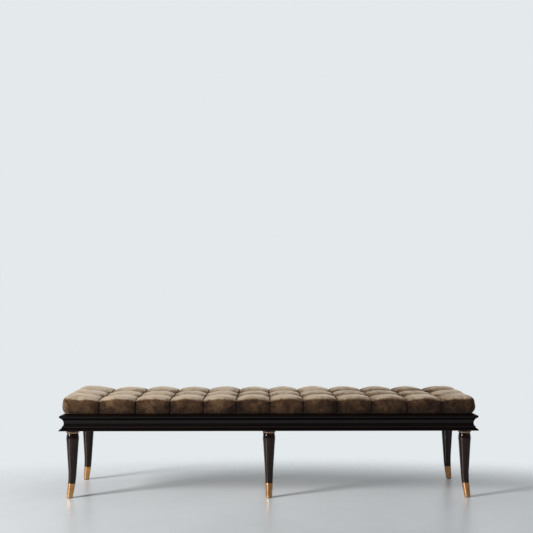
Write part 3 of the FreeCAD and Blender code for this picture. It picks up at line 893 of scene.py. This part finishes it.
def blow_up(points, held):
    """Runs the cloth on a copy of the grid and returns its points, each moved by at most the cap."""
    rows, columns = points.shape[:2]
    mesh = bpy.data.meshes.new("cloth")
    mesh.from_pydata(points.reshape(-1, 3).tolist(), [], quads(rows, columns).tolist())
    piece = put("cloth", mesh)
    group = piece.vertex_groups.new(name="sewn")
    group.add(np.flatnonzero(held).tolist(), 1.0, "REPLACE")
    settings = adjust(piece.modifiers.new("cloth", "CLOTH").settings, **VELVET_CLOTH)
    settings.effector_weights.gravity = 0.0
    piece.modifiers["cloth"].point_cache.frame_end = FRAMES
    for number in range(1, FRAMES + 1):
        bpy.context.scene.frame_set(number)
    solved = piece.evaluated_get(bpy.context.evaluated_depsgraph_get()).data
    moved = np.empty(rows * columns * 3)
    solved.vertices.foreach_get("co", moved)
    bpy.context.scene.frame_set(1)
    bpy.data.objects.remove(piece)
    step = moved.reshape(points.shape) - points
    length = np.linalg.norm(step, axis=-1, keepdims=True)
    print("cloth moved", np.round([length.max() / MM, length.mean() / MM], 2), "mm, most and on average")
    return points + step * (CAP * np.tanh(length / CAP) / np.maximum(length, 1e-12))


cloth = blow_up(cloth, sewn_points(grid_a, grid_b, side_reach))

# %% [markdown]
# ## Twice as fine, then the sewing
# The grid is made twice as fine in both directions by a cubic through four neighbours, so the crowns stay
# smooth. Then comes what is narrower than the cloth's grid: the crease where two biscuits are sewn
# together, puckers that run into the seam, and short folds round each tuft.

# %% Twice as fine, then the sewing
CREASE_DEPTH = 2.6 * MM
CREASE_WIDTH = 2.4 * MM
PUCKER_DEPTH = 0.4 * MM
PUCKER_SPACING = 13.0 * MM
PUCKER_REACH = 9.0 * MM
STITCH_FADE = 0.7      # how far the lengthwise stitching fades on the end biscuits
FOLDS = 8              # round a tuft
FOLD_PLACE = 14.0 * MM
FOLD_DEPTH = 0.8 * MM


def finer(values):
    """Doubles a grid along its first axis: new points are (9 (b + c) - (a + d)) / 16 of four neighbours."""
    ends = np.concatenate([2 * values[:1] - values[1:2], values, 2 * values[-1:] - values[-2:-1]])
    between = (9 * (ends[1:-2] + ends[2:-1]) - (ends[:-3] + ends[3:])) / 16
    made = np.empty((2 * len(values) - 1, *values.shape[1:]))
    made[::2], made[1::2] = values, between
    return made


def finer_both(values):
    """Doubles a grid along both axes."""
    return finer(finer(values).swapaxes(0, 1)).swapaxes(0, 1)


def sewing(a, b, reach):
    """Height of creases, puckers and folds above the cloth.

    A crease is a narrow bell across the seam. A pucker is a wave along the seam that fades away from it.
    A fold is a wave in the angle round a tuft, strongest at FOLD_PLACE from it.
    """
    away_x, number_x = nearest(a, seams_x)
    away_y, number_y = nearest(b, seams_y)
    fade = 1 - STITCH_FADE * end_share(a)
    height = -bell(away_x, CREASE_DEPTH, CREASE_WIDTH) - fade * bell(away_y, CREASE_DEPTH, CREASE_WIDTH)
    wander = 2.5 * smooth_random(a, b, 30 * MM, 7)
    wave_b = np.sin(2 * np.pi * b / PUCKER_SPACING + wander + 2.1 * number_x)
    wave_a = np.sin(2 * np.pi * a / PUCKER_SPACING + wander + 1.7 * number_y)
    height += PUCKER_DEPTH * wave_b * np.exp(-np.abs(away_x) / PUCKER_REACH)
    height += PUCKER_DEPTH * fade * wave_a * np.exp(-np.abs(away_y) / PUCKER_REACH)
    radius = np.hypot(away_x, away_y)
    angle = np.arctan2(away_y, away_x)
    folds = np.sin(FOLDS * angle + 3 * smooth_random(a, b, 160 * MM, 9))
    folds *= bell(radius - FOLD_PLACE, FOLD_DEPTH, 12 * MM) * bell(reach, 1.0, 1 / 6)
    return height * (1 - 0.3 * reach) + folds


cloth = finer_both(cloth)
fine_a, fine_b = np.meshgrid(finer(line_a), finer(line_b))
fine_reach = finer_both(side_reach)
cloth = cloth + surface_normals(cloth) * sewing(fine_a, fine_b, fine_reach)[..., None]
cloth[..., 2] = np.maximum(cloth[..., 2], BASE)
print("velvet grid", cloth.shape[:2])

# %% [markdown]
# ## Painted light and shade on the velvet
# Here light and shade are painted into the velvet's colour: a painted highlight where the cloth faces up,
# painted shade where it stands upright, in the valleys, seams and tuft pits and towards the base, and
# painted light that grows towards the left end. The material reads this as a number at each point of the
# mesh, 1 for the painted highlight and 0 for the painted shade.

# %% Painted light and shade on the velvet
SHADE_UP, HIGHLIGHT_UP = 0.42, 0.95      # upward part of the normal where the painted shade is full and where the painted highlight is
CROSS_VALLEY_SHADE = (0.3, 22.0 * MM)           # how much painted shade in the valley, and how far from the seam
ROW_VALLEY_SHADE = (0.6, 34.0 * MM)
STITCHING_SHADE = (0.2, 3.0 * MM)
TUFT_PIT_SHADE = (0.5, 18.0 * MM)
BRUSHED = 0.16        # how much biscuits differ at random in how their pile lies
# painted light that grows towards the left end, nearer the window lamp
PAINTED_LIGHT_LEFT = 0.14
PAINTED_SHADE_AT_BASE = 0.12


def painted_light_and_shade(a, b, up, reach):
    """Painted highlight and shade: 1 on crowns, falling to 0 where the cloth stands upright, below 0 at
    base.

    Wide bells of painted shade darken the valleys, narrow ones the stitching, and one at each tuft its pit.
    Some biscuits are lighter than others at random, and painted light grows towards the left end.
    """
    t = np.clip((up - SHADE_UP) / (HIGHLIGHT_UP - SHADE_UP), 0, 1)
    # low grows down the lower sides, where painted shade is added
    low = np.clip((reach - 0.45) / 0.55, 0, 1)
    away_x, away_y = nearest(a, seams_x)[0], nearest(b, seams_y)[0]
    # Painted shade in the valleys, along the stitching and in each tuft's pit.
    dark = (1 - END_FADE * end_share(a)) * (bell(away_y, *ROW_VALLEY_SHADE) + bell(away_y, *STITCHING_SHADE))
    dark += bell(away_x, *CROSS_VALLEY_SHADE) + bell(away_x, *STITCHING_SHADE)
    dark += bell(np.hypot(away_x, away_y), *TUFT_PIT_SHADE)
    # Random tone from biscuit to biscuit, plus painted light growing towards the left end.
    random_tone_and_painted_light = BRUSHED * smooth_random(a, b, 130 * MM, 11) - PAINTED_LIGHT_LEFT * a / flat_x
    return t * t * (3 - 2 * t) + random_tone_and_painted_light - PAINTED_SHADE_AT_BASE * low - dark


# The painted highlight and painted shade that the velvet's colour takes from the shine attribute.
shine = painted_light_and_shade(fine_a, fine_b, finer_both(sewn_up), fine_reach)

# %% [markdown]
# ## Close the cushion
# From the edge of the sheet the velvet folds under as a hem 40 mm wide that lies on the rails, and steps
# up by its own thickness to the seat board, where a flat face closes it. The cushion stands for the
# cover, the foam and the tufting twines of the CAD model.

# %% Close the cushion
HEM_WIDTH = 40.0 * MM
HEM_STEP = 1.5 * MM


def border(rows, columns):
    """Numbers of the grid's outer points, once round."""
    top, bottom = np.arange(columns), np.arange(columns) + (rows - 1) * columns
    left, right = np.arange(rows) * columns, np.arange(rows) * columns + columns - 1
    return np.concatenate([top[:-1], right[:-1], bottom[:0:-1], left[:0:-1]])


def closed_cushion(points):
    """The sheet with its hem: three more rings inside the border, each set in on both axes, and a cap."""
    rows, columns = points.shape[:2]
    flat_points = points.reshape(-1, 3)
    edge = border(rows, columns)
    rim = flat_points[edge]
    half = np.abs(rim).max(axis=0)
    rings = []
    for inset, lift in ((4 * MM, 0.0), (HEM_WIDTH, 0.0), (HEM_WIDTH + 0.4 * MM, HEM_STEP)):
        ring = rim * (1 - inset / half)
        ring[:, 2] = BASE + lift
        rings.append(ring)
    everything = np.concatenate([flat_points, *rings])
    count = len(edge)
    start = len(flat_points)
    inner = quads(len(rings), count, closed=True, start=start)
    step = np.roll(np.arange(count), -1)
    first = stacked(edge, edge[step], start + step, start + np.arange(count))
    last = start + (len(rings) - 1) * count
    faces = np.concatenate([quads(rows, columns), first, inner])
    return make_piece("velvet_cushion", everything, faces, [range(last, last + count)], sharp=80)


cushion = closed_cushion(cloth)
# The shine attribute hands the painted highlight and painted shade to the velvet material.
values = np.zeros(len(cushion.data.vertices), np.float32)
values[:shine.size] = shine.ravel()
cushion.data.attributes.new("shine", "FLOAT", "POINT").data.foreach_set("value", values)
fit_out(cushion, velvet, "velvet", "velvet_cover", "foam_pad", "tuft_twines")
print("cushion has", len(cushion.data.polygons), "faces")

# %% [markdown]
# ## Under the seat
# Battens, bearer, blocks and nuts keep their CAD shapes, with their sharp edges broken. A CAD node's mesh
# is loose triangles, so a copy is merged first, its flat faces joined, and then bevelled. The mitre keys,
# the seat board and the bolts only get a material.

# %% Under the seat
def eased(node, width, material, slot):
    """A copy of a CAD node: doubles merged, flat faces joined, and every edge bevelled by a width."""
    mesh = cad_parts[node].data.copy()
    work = bmesh.new()
    work.from_mesh(mesh)
    bmesh.ops.remove_doubles(work, verts=work.verts, dist=0.01 * MM)
    flat = math.radians(1)
    bmesh.ops.dissolve_limit(work, angle_limit=flat, verts=work.verts, edges=work.edges)
    work.to_mesh(mesh)
    work.free()
    piece = bevelled(put("eased_" + node, mesh), width, segments=2)
    return fit_out(piece, material, slot, node)


for number in range(1, 5):
    eased("cross_batten_%d" % number, 1.0 * MM, beech_across, "frame_timber")
eased("middle_bearer", 1.2 * MM, beech_across, "frame_timber")
for corner in ("front_left", "front_right", "back_left", "back_right"):
    eased("corner_block_" + corner, 1.2 * MM, beech_upright, "frame_timber")
eased("leg_nuts", 0.6 * MM, zinc, "zinc_steel")
for node, finish in (("mitre_keys", beech_upright), ("seat_board", birch_ply), ("leg_bolts", zinc)):
    coat(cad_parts[node], finish)

# %% [markdown]
# ## Seat screws
# Two pan-head screws go up through each batten into the seat board. The CAD model has plain hexagons for
# them. Here the head is a low dome with a cross recess.

# %% Seat screws
SCREW_SIDES = 32
HEAD_RADIUS = 5.8 * MM
HEAD_HEIGHT = 2.9 * MM
RECESS_WIDTH = 1.2 * MM
RECESS_REACH = 3.0 * MM
RECESS_DEPTH = 1.3 * MM


def screw_heads():
    """Domes under the battens, each a quarter ellipse turned round, with a cross pressed into its face."""
    low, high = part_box("seat_screws")
    battens = [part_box("cross_batten_%d" % number) for number in range(1, 5)]
    seat = battens[0][0].z
    lines = np.linspace(0, 1, 13)[:, None]
    angle = np.linspace(0, 2 * np.pi, SCREW_SIDES, endpoint=False)
    x = HEAD_RADIUS * lines * np.cos(angle)
    y = HEAD_RADIUS * lines * np.sin(angle)
    arm = np.minimum(np.abs(x), np.abs(y)) < RECESS_WIDTH / 2
    reach = np.maximum(np.abs(x), np.abs(y)) < RECESS_REACH
    drop = HEAD_HEIGHT * np.sqrt(1 - (lines * 0.995) ** 2) - RECESS_DEPTH * (arm & reach)
    head = stacked(x, y, -drop)
    sides = (low.y + 6.0 * MM, high.y - 6.0 * MM)
    places = np.array([((a.x + b.x) / 2, side, seat) for a, b in battens for side in sides])
    faces, caps = [], []
    for start in range(0, x.size * len(places), x.size):
        faces.append(quads(*x.shape, closed=True, start=start))
        caps.append(range(start + x.size - SCREW_SIDES, start + x.size))
        caps.append(range(start, start + SCREW_SIDES))
    points = head.reshape(1, -1, 3) + places[:, None]
    return make_piece("screw_heads", points, np.concatenate(faces), caps)


fit_out(screw_heads(), zinc, "zinc_steel", "seat_screws")

# %% [markdown]
# ## Dust cover and staples
# Black cloth closes the underside inside the hem. It is stapled along its edge, so it is tight there and
# hangs down by less than a millimetre in between, with small pulls at the staples.

# %% Dust cover and staples
STAPLE_SPACING = 52.0 * MM
STAPLE_INSET = 8.0 * MM
STAPLE_SIZE = np.array([5.0, 0.6, 0.5]) * MM      # half its length, half its width, and its height
cloth_low, cloth_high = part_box("dust_cover")


def dust_cover():
    """A thin sheet whose sag grows as one less a falling exponential of the way in from the edge."""
    x = np.linspace(cloth_low.x, cloth_high.x, 240)
    y = np.linspace(cloth_low.y, cloth_high.y, 60)
    gx, gy = np.meshgrid(x, y)
    inner = np.minimum(np.minimum(gx - x[0], x[-1] - gx), np.minimum(gy - y[0], y[-1] - gy))
    pulls = np.cos(2 * np.pi * gx / STAPLE_SPACING) * np.cos(2 * np.pi * gy / STAPLE_SPACING)
    sag = 0.35 * MM * (1 - np.exp(-inner / (30 * MM))) + 0.12 * MM * pulls * np.exp(-inner / (18 * MM))
    lower = stacked(gx, gy, cloth_low.z + 0.55 * MM - sag)
    upper = lower + np.array([0, 0, 0.4 * MM])
    rows, columns = gx.shape
    total = rows * columns
    edge = border(rows, columns)
    wall = stacked(edge, np.roll(edge, -1), np.roll(edge, -1) + total, edge + total)
    faces = np.concatenate([quads(rows, columns), quads(rows, columns, start=total)[:, ::-1], wall])
    return make_piece("dust_cloth", np.concatenate([lower, upper]), faces)


def staples():
    """Crowns of staples: flat bars with sloping sides, in line with the dust cover's edge."""
    half_x, half_y = cloth_high.x - STAPLE_INSET, cloth_high.y - STAPLE_INSET
    along = np.arange(-half_x + 20 * MM, half_x - 10 * MM, STAPLE_SPACING)
    across = np.arange(-half_y + 20 * MM, half_y - 10 * MM, STAPLE_SPACING)
    sides = [(along, -half_y, 0.0), (along, half_y, 0.0)]
    sides += [(-half_x, across, np.pi / 2), (half_x, across, np.pi / 2)]
    centres = np.concatenate([stacked(*side) for side in sides])
    spin = centres[:, 2] + 0.12 * np.random.default_rng(5).uniform(-1, 1, len(centres))
    square = np.array([(-1, -1), (1, -1), (1, 1), (-1, 1)])
    bar = np.concatenate([np.c_[square, np.ones(4)], np.c_[square * (0.9, 0.7), np.zeros(4)]])
    bar = bar * STAPLE_SIZE
    cos, sin = np.cos(spin)[:, None], np.sin(spin)[:, None]
    x = bar[:, 0] * cos - bar[:, 1] * sin + centres[:, :1]
    y = bar[:, 0] * sin + bar[:, 1] * cos + centres[:, 1:2]
    z = bar[:, 2] + cloth_low.z + 0.1 * MM
    walls = [(0, 1, 5, 4), (1, 2, 6, 5), (2, 3, 7, 6), (3, 0, 4, 7)]
    box_faces = np.array([(0, 1, 2, 3), (4, 5, 6, 7), *walls])
    faces = (box_faces[None] + 8 * np.arange(len(centres))[:, None, None]).reshape(-1, 4)
    print("staples", len(centres))
    return make_piece("staples", stacked(x, y, z), faces)


cover = fit_out(dust_cover(), dust_cloth, "dust_cloth", "dust_cover")
fit_out(staples(), zinc, "zinc_steel")

# %% [markdown]
# ## Floor and background
# Close to the bench the floor is a real surface that takes the shadow and a soft reflection. Further off
# it fades into the background, so no horizon shows. The fade follows an oval round the bench.

# %% Floor and background
FLOOR_HALF = 12.0
OVAL_LONG = 3.2        # half the oval's length, half its width, and how far in front its middle lies
OVAL_WIDE = 2.1
OVAL_FORWARD = 1.3
BACKGROUND = "#e4e9ec"


def pale_floor():
    """Ground concrete, sealed: a pale grey with faint cloudy tone, and clear beyond the oval's rim."""
    made, tree = new_material("sealed_concrete_pale")
    tone = mottle(tree, 0.5, 0.5, "Z", 3.0)
    inputs = {
        "Base Color": ramp(tree, tone, (0.3, "#c4c7c8"), (0.7, "#ced1d2")),
        "Roughness": 0.34,
        "Specular IOR Level": 0.35,
    }
    surface = add(tree, "BsdfPrincipled", inputs).outputs[0]
    place = add(tree, "TexCoord").outputs["Object"]
    scale = (1 / OVAL_LONG, 1 / OVAL_WIDE, 1.0)
    inputs = {"Vector": place, "Location": (0.0, OVAL_FORWARD / OVAL_WIDE, 0.0), "Scale": scale}
    oval = add(tree, "Mapping", inputs).outputs[0]
    far = add(tree, "VectorMath", {0: oval}, operation="LENGTH").outputs["Value"]
    fade = add(tree, "MapRange", {0: far, 1: 0.7, 2: 1.0}, interpolation_type="SMOOTHSTEP")
    clear = add(tree, "BsdfTransparent").outputs[0]
    return finished(made, {0: fade.outputs[0], 1: surface, 2: clear}, "MixShader")


corners = np.array([(-1, -1, 0), (1, -1, 0), (1, 1, 0), (-1, 1, 0)]) * FLOOR_HALF
floor_mesh = bpy.data.meshes.new("floor")
floor_mesh.from_pydata(corners.tolist(), [], [(0, 1, 2, 3)])
floor_mesh.materials.append(pale_floor())
floor = put("floor", floor_mesh)

# %% [markdown]
# ## Light
# The room is lit by tall windows to the left, a little in front of the bench. One large soft lamp stands
# for them, seven metres off, and a weaker one fills from the other side. Camera rays see the pale
# background. Gloss rays see it behind the bench only, and elsewhere a dim room, which keeps the dark
# lacquer dark. Diffuse rays see a dimmer sky, so the bench isn't washed out.

# %% Light
FRONT_ROOM = 0.07      # how bright the room is in reflections, but for the wall behind the bench
SKY = 0.36             # diffuse light from all round


def soft_lamp(name, place, target, size, watts):
    """A white rectangular area lamp at a place, aimed at a target."""
    data = bpy.data.lights.new(name, "AREA")
    adjust(data, shape="RECTANGLE", size=size[0], size_y=size[1], energy=watts)
    aim = (Vector(target) - Vector(place)).to_track_quat("-Z", "Y").to_euler()
    return adjust(put(name, data), visible_camera=False, location=place, rotation_euler=aim)


def studio_world():
    """Pale background for camera, gloss and transmission rays, and a dimmer one for all others."""
    world = bpy.data.worlds.new("studio")
    world.use_nodes = True
    tree = world.node_tree
    tree.nodes.clear()
    rays = add(tree, "LightPath").outputs
    seen = 0.0
    for kind in ("Is Camera Ray", "Is Glossy Ray", "Is Transmission Ray"):
        seen = add(tree, "Math", {0: rays[kind], 1: seen}, operation="MAXIMUM").outputs[0]
    place = add(tree, "TexCoord").outputs["Generated"]
    way = add(tree, "SeparateXYZ", {0: place}).outputs["Y"]
    room = spread(tree, way, 0.1, 0.9, FRONT_ROOM, 1.0)
    plain = add(tree, "Math", {0: rays["Is Camera Ray"], 1: room}, operation="MAXIMUM").outputs[0]
    back = add(tree, "Background", {"Color": linear(BACKGROUND), "Strength": plain})
    sky = add(tree, "Background", {"Color": linear("#f2f5f8"), "Strength": SKY})
    mixed = add(tree, "MixShader", {0: seen, 1: sky.outputs[0], 2: back.outputs[0]})
    add(tree, "OutputWorld", {"Surface": mixed.outputs[0]})
    bpy.context.scene.world = world


soft_lamp("window_left", (-5.6, -3.2, 3.0), (0.0, 0.0, 0.4), size=(1.5, 3.2), watts=660)
soft_lamp("fill_right", (3.5, -2.5, 1.8), (0.2, 0.0, 0.35), size=(2.0, 2.0), watts=8)
studio_world()
bpy.context.scene.view_settings.view_transform = "Standard"
